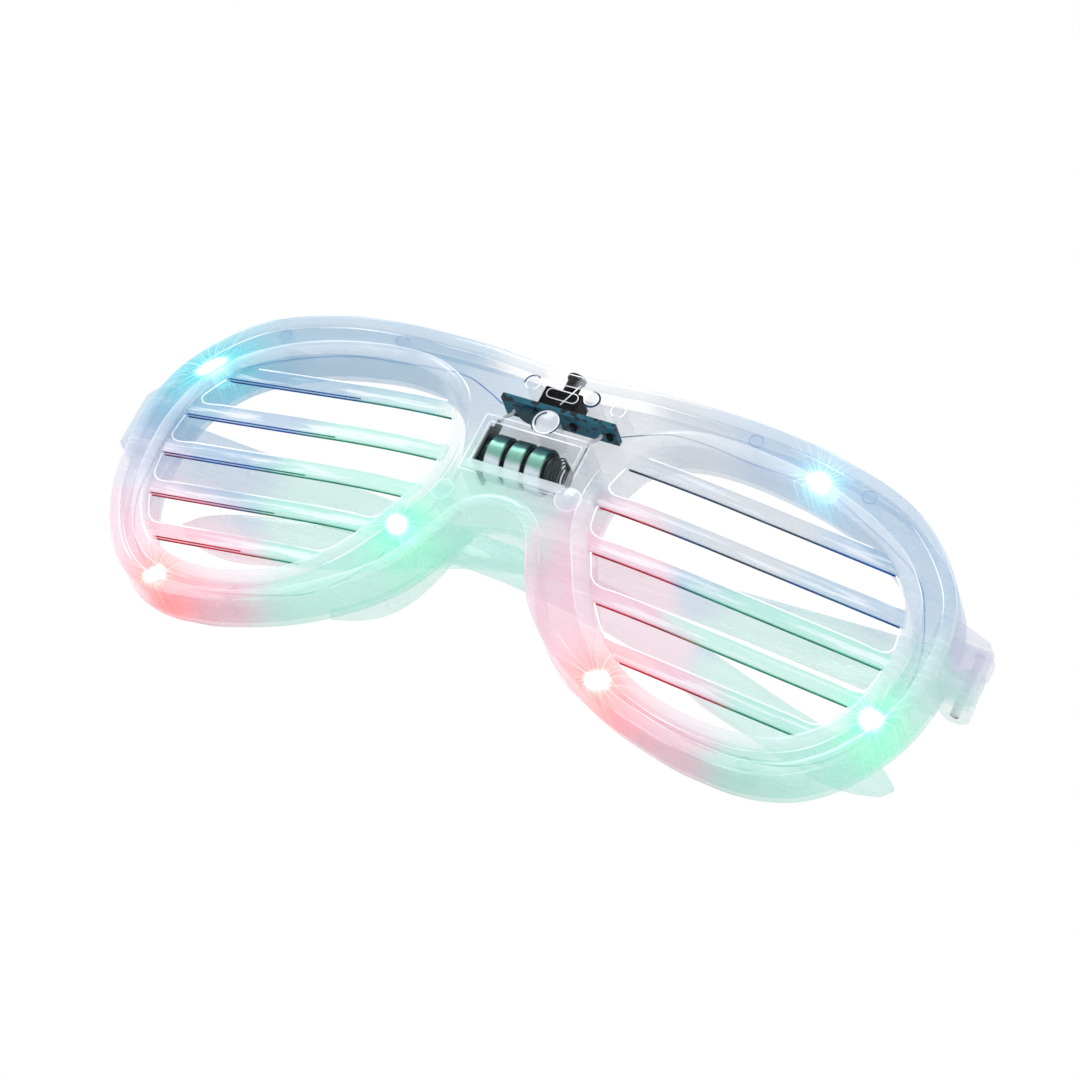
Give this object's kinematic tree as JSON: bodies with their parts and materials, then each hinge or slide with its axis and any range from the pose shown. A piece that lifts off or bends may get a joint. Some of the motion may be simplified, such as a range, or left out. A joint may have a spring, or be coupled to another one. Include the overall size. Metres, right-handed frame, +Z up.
{
  "type": "light-up slatted glasses",
  "caption": "Light-up party glasses with slats in place of lenses, lamps inside a clear rim, a button on the bridge and folding temples.",
  "frame": {"origin": "middle of the footprint, on the plane that the rim's two feet stand on", "axes": "+X to the right as seen from ahead, -Y the way the front faces, +Z up"},
  "size_m": [0.156, 0.0556, 0.0579],
  "materials": {
    "clear_plastic": "clear, glossy",
    "temple_plastic": "clear, glossy",
    "steel": "plated",
    "dark_steel": "plain wire",
    "board": "solder mask",
    "black_plastic": "moulded",
    "wire": "wire insulation",
    "lamp_cyan": "lit lamp",
    "lamp_red": "lit lamp",
    "lamp_green": "lit lamp",
    "lamp_blue": "lit lamp"
  },
  "bodies": {
    "front": {"front_shell": "clear_plastic", "back_shell": "clear_plastic", "slat_left_1": "clear_plastic", "slat_left_2": "clear_plastic", "slat_left_3": "clear_plastic", "slat_left_4": "clear_plastic", "slat_left_5": "clear_plastic", "slat_right_1": "clear_plastic", "slat_right_2": "clear_plastic", "slat_right_3": "clear_plastic", "slat_right_4": "clear_plastic", "slat_right_5": "clear_plastic", "battery_door": "clear_plastic", "battery_door_screw": "steel", "battery_cell_1": "steel", "battery_cell_2": "steel", "battery_cell_3": "steel", "contact_plate": "steel", "contact_spring": "dark_steel", "battery_lead_positive": "wire", "battery_lead_negative": "wire", "circuit_board": "board", "controller_blob": "black_plastic", "resistor_1": "black_plastic", "resistor_2": "black_plastic", "switch_body": "black_plastic", "lamp_1": "lamp_cyan", "lamp_2": "lamp_red", "lamp_3": "lamp_green", "lamp_4": "lamp_blue", "lamp_5": "lamp_red", "lamp_6": "lamp_green", "lamp_lead_1": "wire", "lamp_lead_2": "wire", "lamp_lead_3": "wire", "lamp_lead_4": "wire", "lamp_lead_5": "wire", "lamp_lead_6": "wire", "left_hinge_pin": "steel", "right_hinge_pin": "steel"},
    "left_temple": {"left_temple": "temple_plastic"},
    "right_temple": {"right_temple": "temple_plastic"},
    "push_button": {"push_button": "black_plastic"}
  },
  "joints": [
    {"name": "left_temple_hinge", "type": "hinge", "parent": "front", "child": "left_temple", "pos_m": [-0.075, -0.00214, 0.034], "axis": [0, 0, 1], "range_deg": [0, 85]},
    {"name": "right_temple_hinge", "type": "hinge", "parent": "front", "child": "right_temple", "pos_m": [0.075, -0.00214, 0.034], "axis": [0, 0, -1], "range_deg": [0, 85]},
    {"name": "button_press", "type": "slide", "parent": "front", "child": "push_button", "axis": [0, 0, -1], "range_m": [0, 0.001], "stiffness_N_per_m": 500, "springref_m": -0.0005}
  ],
  "couplings": [
    {"joint": "right_temple_hinge", "follows": "left_temple_hinge", "ratio": 1}
  ]
}
